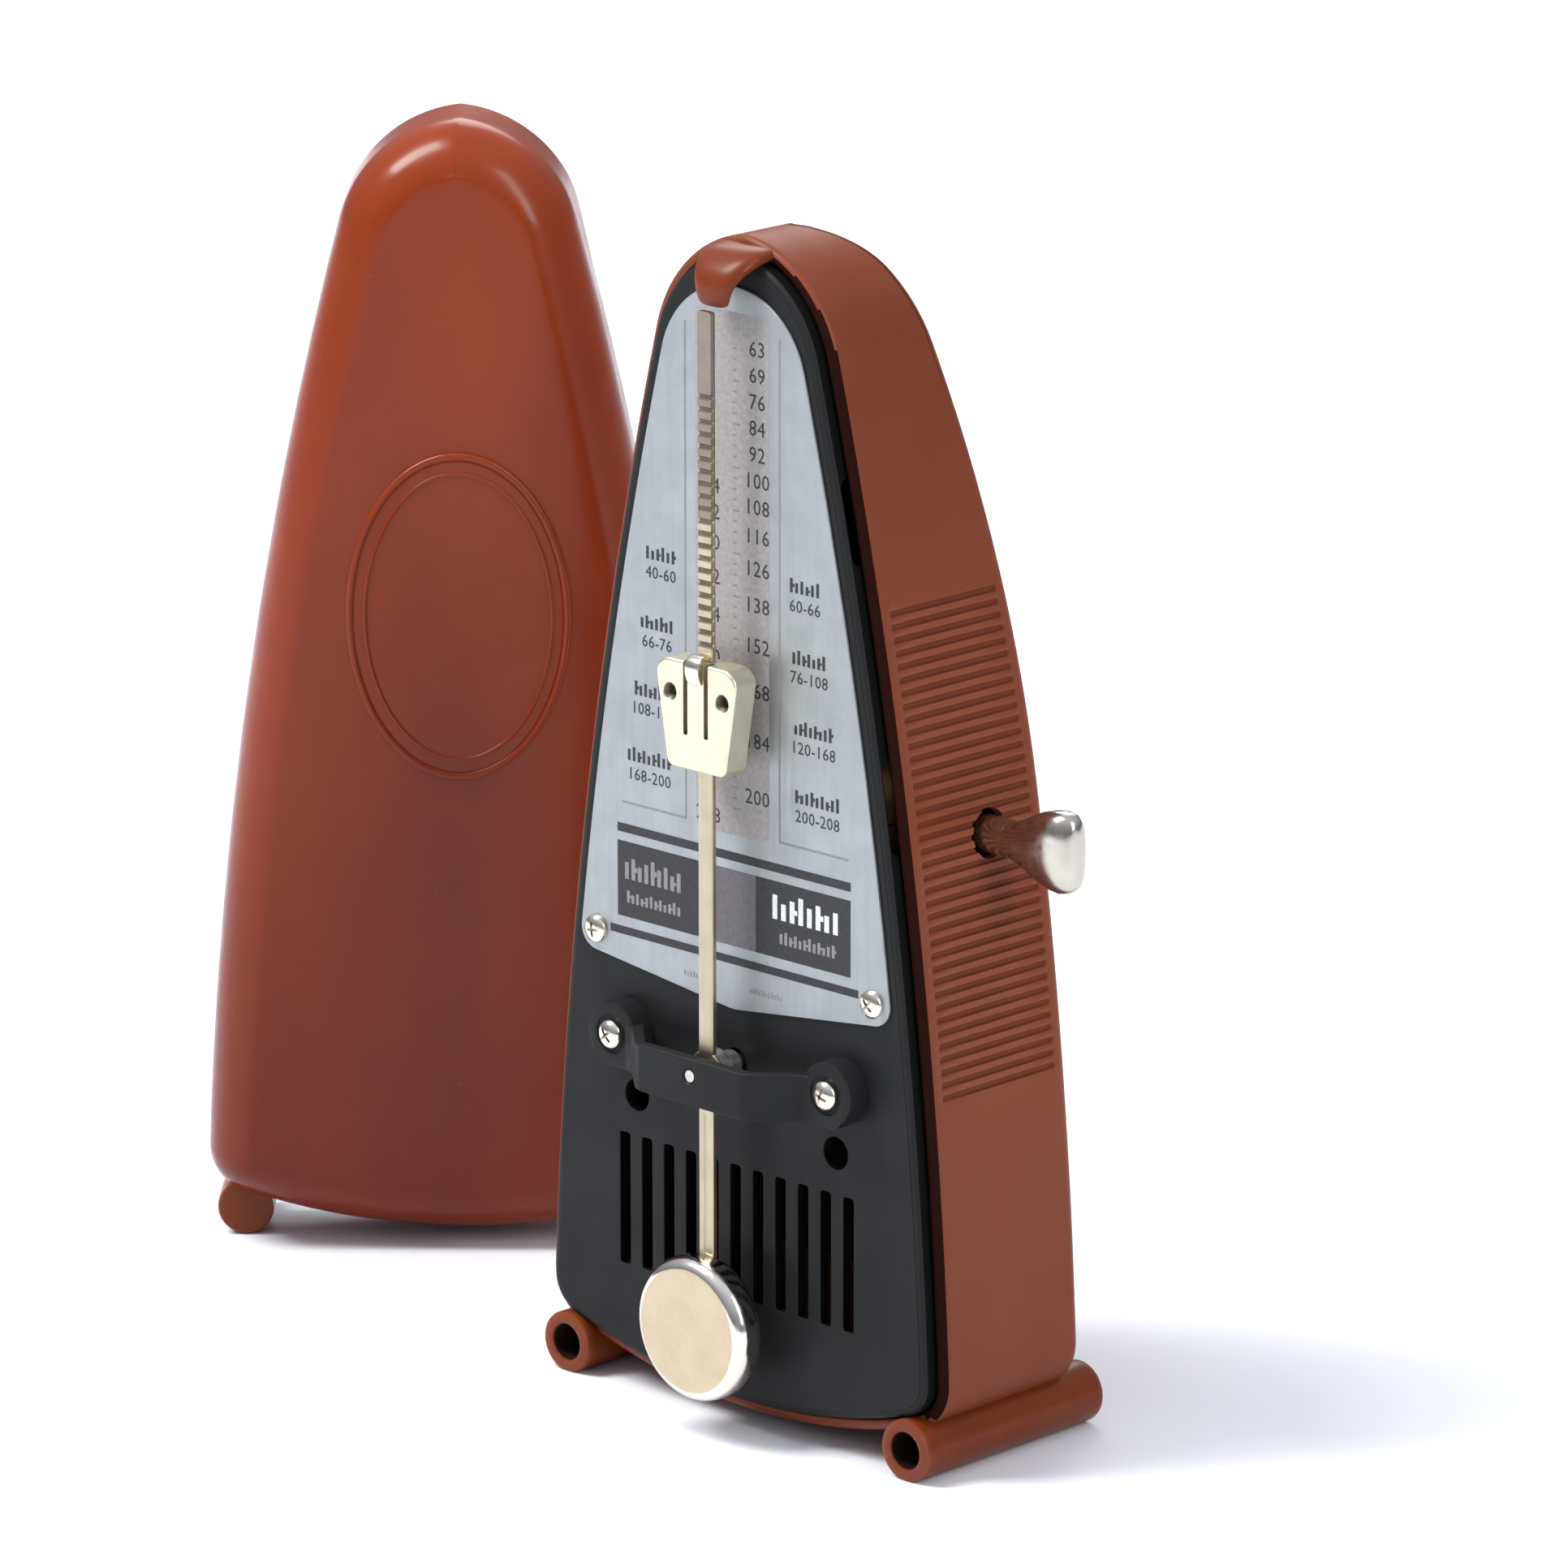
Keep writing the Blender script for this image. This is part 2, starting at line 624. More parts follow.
def make_clip():
    """Parking clip: a tongue that comes over the top of the panel and holds the rod's tip."""
    path = [(3.0, 158.1, 1.0, 5.2), (-0.5, 158.0, 1.15, 5.2), (-2.4, 157.5, 1.3, 4.9),
            (-4.0, 156.5, 1.35, 4.3), (-5.1, 155.3, 1.2, 3.6), (-5.6, 153.8, 0.95, 3.0),
            (-5.5, 152.4, 0.75, 2.6), (-5.35, 151.5, 0.5, 2.2)]
    rings = []
    for i, (dy, z, thick, wide) in enumerate(path):
        along = along_path(path, i)
        out = Vector((0, along.z, -along.y))
        ring = []
        for k in range(28):
            a = 2 * math.pi * k / 28
            u = bulge(math.cos(a), 0.7) * wide
            ring.append(Vector((u, RIM_Y + dy, z)) + out * (bulge(math.sin(a), 0.7) * thick))
        rings.append(ring)
    return loft(rings)


case_finish = [brown, brown_groove, brown_rim, brown_bore, brown_back]
GROOVE_FINISH, RIM_FINISH, BORE_FINISH, BACK_FINISH = 1, 2, 3, 4


def shade_grooves(piece):
    """Finishes of the right rim beside the panel, the inside, the back and the groove floors."""
    for polygon in piece.data.polygons:
        c = polygon.center / MM
        dark_depth = 0.65 * clamp((158 - c.z) / 12)
        if c.x > 0 and c.y < RIM_Y + dark_depth and c.z > 8.5:
            polygon.material_index = RIM_FINISH
        elif c.y < back_at(c.z) - 1.7 and 16 < c.z < 146 and abs(c.x) < side_x(c.z) - 1.3:
            polygon.material_index = BORE_FINISH
        elif c.y > back_at(c.z) - 0.05 and abs(polygon.normal.y) > 0.9:
            polygon.material_index = BACK_FINISH
        in_band = 50 < c.z < 115 and RIM_Y + 2.3 < c.y < back_at(c.z) - 1.9
        if in_band and side_x(c.z, GROOVE_DEPTH) - 0.1 < abs(c.x) < side_x(c.z, 0.12):
            polygon.material_index = GROOVE_FINISH


case_body = add_piece("case_body", make_case(), case_finish, 50)
flat_fronts(case_body)
shade_grooves(case_body)
fit(case_body, "case_shell")
for side, x in (("left", -RAIL_X), ("right", RAIL_X)):
    rail = add_piece("foot_rail_" + side, make_rail(x), [brown_rail, brown_bore])
    paint(rail, 1, lambda c: math.hypot(c.x - x, c.z - RAIL_Z) < RAIL_HOLE_R + 0.05)
    detail(rail, "case_shell")
clip = add_piece("parking_clip", make_clip(), [brown_rail], 60)
clip.modifiers.new("round", "SUBSURF").render_levels = 2
detail(clip, "case_shell")


# ---------------- front panel
SLOT_COUNT = 11
SLOT_PITCH = 4.1
SLOT_HALF = 0.95
SLOT_LOW = 17.6
SLOT_HIGH = 36.0
VENT_R = 2.2
VENT_X = 18.2
VENT_DROP = 8.4
SIDE_NOTCHES = ((120, 131), (83, 95.4))


def panel_holes():
    loops = []
    for i in range(SLOT_COUNT):
        x = (i - (SLOT_COUNT - 1) / 2) * SLOT_PITCH
        loops.append(rounded_loop(box_loop(x - SLOT_HALF, x + SLOT_HALF, SLOT_LOW, SLOT_HIGH), 0.5, 3))
    for s in (-1, 1):
        loops.append(circle(s * VENT_X, PIVOT_Z - VENT_DROP, VENT_R))
    loops.append(circle(0, PIVOT_Z, 2.0))
    return loops


def panel_ring(o, y):
    return [(x, y, z) for x, z in whole(half_outline(o, plain_levels()))]


def make_panel():
    outline = whole(half_outline(2.9, plain_levels()))
    face = slab([outline] + panel_holes(), FACE_Y, FACE_Y + 1.6, 0.1)
    rows = [(3.6, 0.5), (3.2, 0.07), (2.85, 0.1), (2.5, 0.14), (2.2, 0.3), (2.0, 0.6), (1.9, 1.0),
            (1.9, 1.6), (1.9, 4.0), (3.2, 4.0), (3.6, 1.6)]
    skirt = loft([panel_ring(o, FACE_Y + dy) for o, dy in rows], wrap=True)
    for z0, z1 in SIDE_NOTCHES:
        x = side_x(z1)
        loop = rounded_loop(box_loop(FACE_Y + 0.75, FACE_Y + 3.6, z0, z1), 1.2)
        cutter = slab([loop], x - 4.0, x + 6, 0.01, "side", 0)
        skirt = boolean(skirt, mirrored(cutter))
    return joined([face, skirt])


panel = add_piece("panel", make_panel(), [black, black_edge], 35)
flat_fronts(panel)
paint(panel, 1, lambda c: c.y > FACE_Y + (0.55 if c.x > 0 else 0.3))
fit(panel, "front_panel")


# ---------------- scale plate and its print
PLATE_INSET = 4
PLATE_TOP_R = 13.0
PLATE_TOP_DROP = 16


def plate_outline():
    side_r = SIDE_R - PLATE_INSET
    corner_r = side_x(PLATE_SCREW[1], PLATE_INSET) - PLATE_SCREW[0]
    top_a = math.degrees(math.asin((CASE_TOP - PLATE_TOP_DROP - SIDE_C[1]) / side_r))
    low_a = math.degrees(math.asin((PLATE_SCREW[1] - SIDE_C[1]) / side_r))
    centre = on_arc(SIDE_C, side_r - PLATE_TOP_R, top_a)
    peak_a = math.degrees(math.acos(-centre[0] / PLATE_TOP_R))
    half = [(0.0, plate_low[2]), (0.8, plate_low[2] + 0.02)]
    half += arc(PLATE_SCREW, corner_r, -80, 4, 10)
    half += arc(SIDE_C, side_r, low_a + 0.3, top_a, 30)
    half += arc(centre, PLATE_TOP_R, top_a + 4, peak_a, 18)
    return whole(half)


plate_loops = [plate_outline()] + [circle(s * PLATE_SCREW[0], PLATE_SCREW[1], 1.0) for s in (-1, 1)]
plate = add_piece("plate", slab(plate_loops, PLATE_Y, FACE_Y, 0.09), [plate_metal], 35)
flat_fronts(plate)
fit(plate, "scale_plate")

# Each ink is a thin layer on the plate; a layer's height keeps it clear of the one below
LAYER = 0.012


def ink_layer(name, loops, material, height):
    """Loops of 2-D points laid on the plate as one thin printed piece."""
    verts, faces = [], []
    for loop in loops:
        n, base = len(loop), len(verts)
        verts += [(x, PLATE_Y - height * LAYER, z) for x, z in loop]
        verts += [(x, PLATE_Y + LAYER, z) for x, z in loop]
        faces.append(tuple(base + i for i in range(n)))
        faces.append(tuple(base + n + i for i in reversed(range(n))))
        faces += [(base + i, base + (i + 1) % n, base + n + (i + 1) % n, base + n + i) for i in range(n)]
    return detail(add_piece(name, mesh_of(name, verts, faces), [material], 30), "scale_plate")


BAND_X = 6.6
RULE_X = 8.5
BOX_X = 21.2
BLOCK_LOW = 66.0
BLOCK_HIGH = 76.3
band = rounded_loop(box_loop(-BAND_X, BAND_X, 81.0, 150.4), 1.2)
ink_layer("print_band", [band], ink_band, 1)
rules = [box_loop(s * RULE_X - 0.14, s * RULE_X + 0.14, 81.6, 148.0) for s in (-1, 1)]
rules += [box_loop(-20.2, -RULE_X, 81.5, 81.8), box_loop(RULE_X, 20.8, 81.5, 81.8)]
bars = [box_loop(-BOX_X, BOX_X, 77.5, 78.7), box_loop(-22.6, 22.6, 63.5, 64.6)]
block = [box_loop(-BOX_X, BOX_X, BLOCK_LOW, BLOCK_HIGH)]
ink_layer("print_rules", rules, ink_dim, 2)
ink_layer("print_bars", bars + block, ink_black, 1)
ink_layer("print_panel", [box_loop(-3.6, 4.2, BLOCK_LOW, BLOCK_HIGH)], ink_grey, 2)


def stroke_row(x0, x1, z, height, width, seed):
    """Row of short upright strokes of uneven height, an abstract pattern and no lettering."""
    loops = []
    count = max(2, int((x1 - x0) / (width * 1.7)))
    for i in range(count):
        x = x0 + (x1 - x0) * (i + 0.15) / count
        tall = height * (0.62 + 0.38 * ((i * 7 + seed * 3) % 5) / 4)
        loops.append(box_loop(x, x + width, z, z + tall))
        if (i + seed) % 3 == 0:
            loops.append(box_loop(x + width, x + width * 1.6, z + tall * 0.4, z + tall * 0.62))
    return loops


# Height and width of each row of strokes beside the number columns
TEMPO_ROWS = [(114.6, 5.6), (105.2, 6.2), (95.9, 7.0), (86.8, 8.2)]


def row_middle(s, row):
    """Middle of a row on side s; the rows stand further out towards the foot of the plate."""
    return s * (13.0 + 0.75 * row)


tempo_strokes = []
for row, (z, wide) in enumerate(TEMPO_ROWS):
    for s in (-1, 1):
        middle = row_middle(s, row)
        tempo_strokes += stroke_row(middle - wide / 2, middle + wide / 2, z + 0.7, 1.9, 0.5, row + s + 2)
ink_layer("print_strokes", tempo_strokes, ink_black, 1)
badge_strokes = stroke_row(7.0, 19.4, 71.2, 3.6, 0.85, 1)
ink_layer("print_block_bright", badge_strokes, ink_pale, 3)
block_strokes = stroke_row(8.4, 18.6, 68.0, 1.7, 0.5, 4)
block_strokes += stroke_row(-20.0, -9.2, 71.2, 3.2, 0.7, 2) + stroke_row(-19.6, -9.4, 68.0, 1.6, 0.5, 3)
ink_layer("print_block_dim", block_strokes, ink_dim, 3)
low_strokes = stroke_row(3.0, 9.0, 60.2, 0.9, 0.3, 5) + stroke_row(-9.0, -3.5, 60.2, 0.9, 0.3, 6)
ink_layer("print_low_strokes", low_strokes, ink_dim, 1)


def number_mesh(text, x, z, size):
    """Digits as a flat mesh on the plate, centred on a point."""
    curve = bpy.data.curves.new("number", "FONT")
    curve.body = text
    curve.size = size
    curve.align_x = "CENTER"
    curve.align_y = "CENTER"
    curve.resolution_u = 2
    curve.extrude = LAYER * 0.9
    curve.space_character = 1.05
    mesh = baked(curve)
    mesh.transform(Matrix.Translation((x, PLATE_Y - LAYER * 1.6, z)) @ AXES["front"])
    return weld(mesh, 0.0005)


def beat_numbers():
    """Beats a minute in two columns; the spacing opens out towards the foot of the plate."""
    right = [200, 184, 168, 152, 138, 126, 116, 108, 100, 92, 84, 76, 69, 63]
    left = [208, 192, 176, 160, 144, 132, 120, 112, 104, 96, 88, 80, 72, 66]
    meshes = []
    z = 86.7
    gap = 7.5
    for r, l in zip(right, left):
        meshes.append(number_mesh(str(r), 4.5, z, 2.9))
        meshes.append(number_mesh(str(l), -4.4, z - gap / 2, 2.9))
        z += gap
        gap = max(gap * 0.895, 3.45)
    return joined(meshes)


def range_numbers():
    """Range of beats a minute under each row of strokes."""
    pairs = [("40-60", "60-66"), ("66-76", "76-108"), ("108-120", "120-168"), ("168-200", "200-208")]
    meshes = []
    for row, (z, wide) in enumerate(TEMPO_ROWS):
        for s, text in zip((-1, 1), pairs[row]):
            meshes.append(number_mesh(text, row_middle(s, row), z - 1.1, 2.3))
    return joined(meshes)


detail(add_piece("beat_numbers", beat_numbers(), [ink_black], 30), "scale_plate")
detail(add_piece("range_numbers", range_numbers(), [ink_black], 30), "scale_plate")
TICK_COUNT = 44
TICK_FIRST = 84.5
TICK_PITCH = 1.42
ticks = []
for i in range(TICK_COUNT):
    z = TICK_FIRST + i * TICK_PITCH
    ticks.append(box_loop(0.15, 0.15 + (1.3 if i % 4 == 0 else 0.7), z, z + 0.28))
ink_layer("print_ticks", ticks, ink_dim, 2)


# ---------------- screws
def screw_head(r, h, turn):
    """Domed head with a cross recess; the seat is at y = 0 and the top points to -Y."""
    dome = [(0, 0.05), (r * 0.9, 0.05), (r, -0.05), (r, -h * 0.28)]
    dome += [(r * math.cos(a), -h * 0.28 - h * 0.72 * math.sin(a))
             for a in (math.radians(12 * k) for k in range(1, 8))] + [(0, -h)]
    head = lathe_y(dome, 0, 0, 64)
    for k in (0, 1):
        wide, narrow = r * 0.62, 0.2
        top = [(-wide, -narrow), (wide, -narrow), (wide, narrow), (-wide, narrow)]
        rings = [[(x, -h - 0.2, z) for x, z in top], [(x * 0.55, -h * 0.42, z * 0.7) for x, z in top]]
        arm = loft(rings)
        arm.transform(Matrix.Rotation(math.radians(90 * k + turn), 4, "Y"))
        head = boolean(head, arm)
    return head


def place_screws(name, node, heads, material):
    """One piece of screw heads, each (x, y, z, radius, height, turn, facing the back)."""
    meshes = []
    for x, y, z, r, h, turn, flip in heads:
        mesh = screw_head(r, h, turn)
        if flip:
            mesh.transform(Matrix.Rotation(math.pi, 4, "Z"))
        mesh.transform(Matrix.Translation((x, y, z)))
        meshes.append(mesh)
    return detail(add_piece(name, joined(meshes), [material], 30), node)


BRIDGE_SEAT_Y = RIM_Y - 4.9
plate_heads = [(s * PLATE_SCREW[0], PLATE_Y, PLATE_SCREW[1], 1.9, 1.15, 20 + 25 * s, False)
               for s in (-1, 1)]
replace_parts(place_screws("plate_screw_heads", "scale_plate_screws", plate_heads, nickel),
            "scale_plate_screws")
bridge_heads = [(s * BRIDGE_SCREW[0], BRIDGE_SEAT_Y, BRIDGE_SCREW[1], 2.0, 1.45, 35 - 15 * s, False)
                for s in (-1, 1)]
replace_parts(place_screws("bridge_screw_heads", "bridge_screws", bridge_heads, nickel),
            "bridge_screws")
rear_heads = [(x, back_at(z) - 1.35, z, 2.1, 1.1, 10 + z, True) for x, z in REAR_SCREWS]
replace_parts(place_screws("rear_screw_heads", "rear_screws", rear_heads, nickel),
            "rear_screws")


# ---------------- pendulum bridge
def make_bridge():
    """Bow between two screwed ears, with a boss and a recess at each and the pivot hole."""
    ear, middle = RIM_Y - 5.2, bridge_low[1]
    half = [(0, middle), (9, middle), (10.4, middle + 0.5), (15.4, ear - 0.4), (17, ear), (22.6, ear),
            (22.6, FACE_Y - 1.2), (15.6, FACE_Y - 1.2), (9.6, middle + 1.8), (0, middle + 1.8)]
    loop = half + [(-x, y) for x, y in reversed(half[1:-1])]
    bar = slab([loop], PIVOT_Z - 4, PIVOT_Z + 2.4, 0.28, "top", 3)
    ends = rounded_loop(box_loop(-22.7, 22.7, PIVOT_Z - 4.1, PIVOT_Z + 2.5), 3.0)
    bar = boolean(bar, slab([ends], middle - 1, FACE_Y, 0.01, "front", 0), "INTERSECT")
    boss_profile = [(0, ear + 0.02), (4.0, ear + 0.02), (4.3, ear + 0.14), (4.4, ear + 0.42),
                    (4.4, FACE_Y), (0, FACE_Y)]
    for s in (-1, 1):
        bar = boolean(bar, lathe_y(boss_profile, s * BRIDGE_SCREW[0], BRIDGE_SCREW[1], 64), "UNION")
        recess = [(0, BRIDGE_SEAT_Y), (2.5, BRIDGE_SEAT_Y), (2.7, RIM_Y - 5.0), (2.95, middle - 1),
                  (0, middle - 1)]
        bar = boolean(bar, lathe_y(recess, s * BRIDGE_SCREW[0], BRIDGE_SCREW[1], 64))
    hole = [(0, middle + 3), (0.85, middle + 3), (0.85, middle + 0.35), (1.25, middle - 0.1),
            (1.25, middle - 1), (0, middle - 1)]
    return boolean(bar, lathe_y(hole, 0, PIVOT_Z, 48))


fit(add_piece("bridge", make_bridge(), [black], 32), "pivot_bridge")


# ---------------- pendulum rod
ROD_HALF = 1.3
DULL_FROM = 124
NOTCH_FIRST = 107
NOTCH_DEPTH = 0.34
NOTCH_PITCH = 1.63
NOTCH_COUNT = 21


def make_rod():
    """Flat rod: a shallow middle groove below the pivot, notches across the front above."""
    front, rear = rod_low[1], rod_high[1]
    levels = [(rod_low[2], 0, 0), (21, 0, 0), (21.4, 0, 1), (44.0, 0, 1), (44.4, 0, 0), (106.9, 0, 0)]
    for i in range(NOTCH_COUNT):
        z = NOTCH_FIRST + NOTCH_PITCH * i
        levels += [(z, 0, 0), (z + 0.2, 1, 0), (z + 0.62, 1, 0), (z + 0.82, 0, 0)]
    levels += [(rod_high[2] - 0.6, 0, 0), (rod_high[2] - 0.2, 0, 0), (rod_high[2], 0, 0)]
    rings = []
    for z, notch, groove in levels:
        f = front + NOTCH_DEPTH * notch
        g = f + 0.2 * groove
        w = ROD_HALF - (0.35 if z == rod_high[2] else 0)
        right = [(0.3, g), (0.45, f), (w - 0.12, f), (w, f + 0.12), (w, rear - 0.1), (w - 0.1, rear)]
        left = [(-x, y) for x, y in reversed(right)]
        rings.append([(x, y, z) for x, y in left[1:] + right + left[:1]])
    hub = [(0, front + 0.02), (2.65, front + 0.02), (2.8, front + 0.12), (2.8, rear - 0.1), (2.7, rear),
           (0, rear)]
    return joined([loft(rings), lathe_y(hub, 0, PIVOT_Z, 64)])


def in_notch(c):
    front = rod_low[1]
    return c.z > 106 and abs(c.x) < 1.25 and front + 0.05 < c.y < front + NOTCH_DEPTH + 0.05


rod = add_piece("rod", make_rod(), [rod_metal, rod_shade, rod_dull], 30)
paint(rod, 2, lambda c: c.z > DULL_FROM)
paint(rod, 1, in_notch)
fit(rod, "pendulum_rod")


# ---------------- round weight
BOB_EDGE = 1.9
FACE_R = BOB_R - 1.3


def make_bob():
    """Disc with rounded edges; its front is a little hollow."""
    front, rear = bob_low[1], bob_high[1]
    curve = [(BOB_R - BOB_EDGE + BOB_EDGE * math.sin(a), front + BOB_EDGE - BOB_EDGE * math.cos(a))
             for a in (math.radians(15 * k) for k in range(7))]
    profile = [(0, front + 0.06), (BOB_R * 0.5, front + 0.05), (BOB_R - BOB_EDGE - 0.9, front + 0.02)]
    profile += curve + [(x, rear - (y - front)) for x, y in reversed(curve)] + [(0, rear)]
    return lathe_y(profile, 0, BOB_Z, 128)


def on_bob_face(c):
    return math.hypot(c.x, c.z - BOB_Z) < FACE_R and c.y < (bob_low[1] + bob_high[1]) / 2


bob = add_piece("bob", make_bob(), [bob_side, bob_face], 40)
paint(bob, 1, on_bob_face)
fit(bob, "bob_weight")


# ---------------- sliding weight
CUT_X = 1.85
CUT_HALF = 0.38
DIMPLE_X = 4.7
DIMPLE_UP = 2.7


def make_slider():
    """Tapered block with a channel for the rod, two cuts and two dimples."""
    z0, z1 = slider_low[2], slider_high[2]
    wide, y0, y1 = slider_high[0], slider_low[1], slider_high[1]
    corners = [(-wide + 2.1, z0), (wide - 2.1, z0), (wide, z1 - 1.5), (wide - 1.5, z1), (-wide + 1.5, z1),
               (-wide, z1 - 1.5)]
    body = slab([rounded_loop(corners, 1.1)], y0, y1, 0.35, "front", 3)
    channel = [box_loop(-1.36, 1.36, z0 - 1, z1 + 1)]
    body = boolean(body, slab(channel, rod_low[1] - 0.06, rod_high[1] + 0.06, 0.005, "front", 0))
    dimple = [(0, y0 + 1.5), (0.55, y0 + 1.4), (0.75, y0 + 0.6), (1.15, y0 + 0.12), (1.4, y0 - 0.1),
              (1.4, y0 - 1), (0, y0 - 1)]
    for s in (-1, 1):
        x = s * CUT_X
        cut = rounded_loop(box_loop(x - CUT_HALF, x + CUT_HALF, SLIDER_Z - 2.6, z1 + 3), 0.3, 3)
        body = boolean(body, slab([cut], y0 - 1, y0 + 1.5, 0.005, "front", 0))
        body = boolean(body, lathe_y(dimple, s * DIMPLE_X, SLIDER_Z + DIMPLE_UP, 40))
    return body


def in_recess(c):
    front = slider_low[1]
    in_dimple = math.hypot(abs(c.x) - DIMPLE_X, c.z - SLIDER_Z - DIMPLE_UP) < 0.95
    in_cut = abs(abs(c.x) - CUT_X) < 0.39 and c.y > front + 0.3
    return (in_dimple or in_cut) and front + 0.2 < c.y < front + 1.8


slider = add_piece("slider", make_slider(), [slider_metal, rod_shade], 32)
flat_fronts(slider)
paint(slider, 1, in_recess)
fit(slider, "sliding_weight")


def make_tongue():
    """Leaf spring: rises from the front of the weight and curls back over it to the rod."""
    zt, y0 = slider_high[2], slider_low[1]
    path = [(0.1, -3.0), (-0.3, -2.4), (-0.6, -1.7), (-0.75, -1.0), (-0.72, -0.35), (-0.5, 0.35),
            (0.05, 0.85), (0.7, 0.95), (1.3, 0.75), (1.52, 0.35)]
    section = [(-1.2, -0.08), (-1.2, 0.08), (-1.0, 0.16), (1.0, 0.16), (1.2, 0.08), (1.2, -0.08),
               (1.0, -0.16), (-1.0, -0.16)]
    rings = []
    for i, (dy, dz) in enumerate(path):
        along = along_path(path, i)
        out = Vector((0, -along.z, along.y))
        rings.append([Vector((u, y0 + dy, zt + dz)) + out * w for u, w in section])
    return loft(rings)


tongue = add_piece("slider_tongue", make_tongue(), [nickel], 50)
tongue.modifiers.new("round", "SUBSURF").render_levels = 2
fit(tongue, "weight_spring")


# ---------------- winding key
def make_key():
    """Round shank that flares into a flat, rounded wing."""
    reach = key_high[0]
    wing = (key_high[2] - key_low[2]) / 2
    # Each row is x, half thickness, half width and the power of its superellipse
    rows = [(key_low[0], 2.3, 2.3, 2), (key_low[0] + 0.25, 2.5, 2.5, 2), (reach - 12.2, 2.5, 2.5, 2),
            (reach - 11.8, 2.42, 2.42, 2), (reach - 11.4, 2.42, 2.42, 2), (reach - 11.0, 2.5, 2.55, 2),
            (reach - 9.6, 2.5, 3.05, 2.1), (reach - 7.8, 2.52, 3.95, 2.2), (reach - 6.0, 2.6, 4.8, 2.4),
            (reach - 4.2, 2.68, 5.3, 2.6), (reach - 2.6, 2.68, wing, 2.7),
            (reach - 1.3, 2.4, wing - 0.25, 2.7), (reach - 0.5, 1.8, wing - 0.8, 2.6),
            (reach - 0.1, 1.1, wing - 1.5, 2.4), (reach, 0.2, wing - 3, 2.2)]
    rings = []
    for x, thick, wide, power in rows:
        angles = [2 * math.pi * k / 72 for k in range(72)]
        rings.append([(x, KEY_Y + bulge(math.cos(a), 2 / power) * thick,
                       KEY_Z + bulge(math.sin(a), 2 / power) * wide) for a in angles])
    return loft(rings)


fit(add_piece("key", make_key(), [chrome], 60), "winding_key")


# ---------------- cover
cover_place = Matrix.Translation((COVER_AT[0], COVER_AT[1], 0)) @ Matrix.Rotation(
    math.radians(COVER_TURN), 4, "Z")
COVER_O = 6.4
SKIRT_DEPTH = 9.4
SKIRT_SHARE = 0.4
DOME_DEPTH = 8.9
DOME_TURN = 76
CROWN = 0.75
STEP_Z = 47.0


def cover_profile(t):
    """Inset and depth along the cover's skin, from t = 0 at the open rim to t = 1 at the dome's edge."""
    if t < SKIRT_SHARE:
        return 0.0, SKIRT_DEPTH * t / SKIRT_SHARE
    a = math.radians(DOME_TURN * (t - SKIRT_SHARE) / 0.6)
    inset = COVER_O * (1 - math.cos(a)) / (1 - math.cos(math.radians(DOME_TURN)))
    return inset, SKIRT_DEPTH + DOME_DEPTH * math.sin(a)


def crown_at(s, z):
    """How much the dome's front stands out at a height and a share s of its half width."""
    return CROWN * ((1 - s * s) * math.sin(math.pi * clamp((z - 4) / 152)) ** 0.7)


def cover_ring(o, depth, wall, s=1.0):
    """Ring of the cover in its own frame, rim at y = 0 and the dome towards -Y. Above STEP_Z the
    outer skin stands in a little beside the rim."""
    ring = []
    for x, z in whole(half_outline(o + wall * (1 - o / COVER_O * 0.6), plain_levels(), fine=2)):
        y = -(depth + crown_at(s, z)) + wall
        ease = clamp((z - STEP_Z) / 0.5) * clamp((150 - z) / 12)
        step = 0.4 * ease * clamp((9.5 - depth) / 3) * (1 if wall == 0 else 0)
        stepped = x * s - math.copysign(step, x) * (abs(x) > 8)
        ring.append((stepped, y if depth > 0 or wall == 0 else 0.0, z))
    return ring


def make_cover():
    steps = 30
    outer = [cover_ring(*cover_profile(k / steps), 0) for k in range(steps + 1)]
    o_end, d_end = cover_profile(1)
    outer += [cover_ring(o_end, d_end, 0, s) for s in (0.9, 0.75, 0.6, 0.45, 0.3, 0.15, 0)]
    inner = [cover_ring(o_end, d_end, COVER_WALL, s) for s in (0, 0.3, 0.6, 1)]
    inner += [cover_ring(*cover_profile(k / steps), COVER_WALL) for k in range(steps, -1, -2)]
    rim = [[(x, 0.0, z) for x, y, z in cover_ring(0, 0, COVER_WALL)]]
    mesh = loft(inner + rim + outer, cap_ends=False)
    mesh.transform(cover_place)
    return mesh


def dome_y(x, z):
    """Depth of the cover's front skin at a point of the dome."""
    s = min(abs(x) / side_x(z, COVER_O), 1)
    return -(cover_profile(1)[1] + crown_at(s, z))


def make_foot(s):
    """Foot of the cover on side s, with the peg that goes into a rail of the case."""
    profile = [(0, -10.9), (3.3, -10.9), (3.75, -10.75), (3.95, -10.4), (3.95, -2.8), (3.6, -2.7),
               (2.45, -2.7), (2.45, 3.3), (2.2, 3.5), (0, 3.5)]
    mesh = lathe_y(profile, s * RAIL_X, RAIL_Z - 0.1, 64)
    above_table(mesh)
    mesh.transform(cover_place)
    return mesh


fit(add_piece("cover", make_cover(), [brown_cover], 40), "cover_shell")
feet = add_piece("cover_feet", joined([make_foot(-1), make_foot(1)]), [brown_rail], 40)
fit(feet, "cover_pegs")
BADGE_Z = 92.0


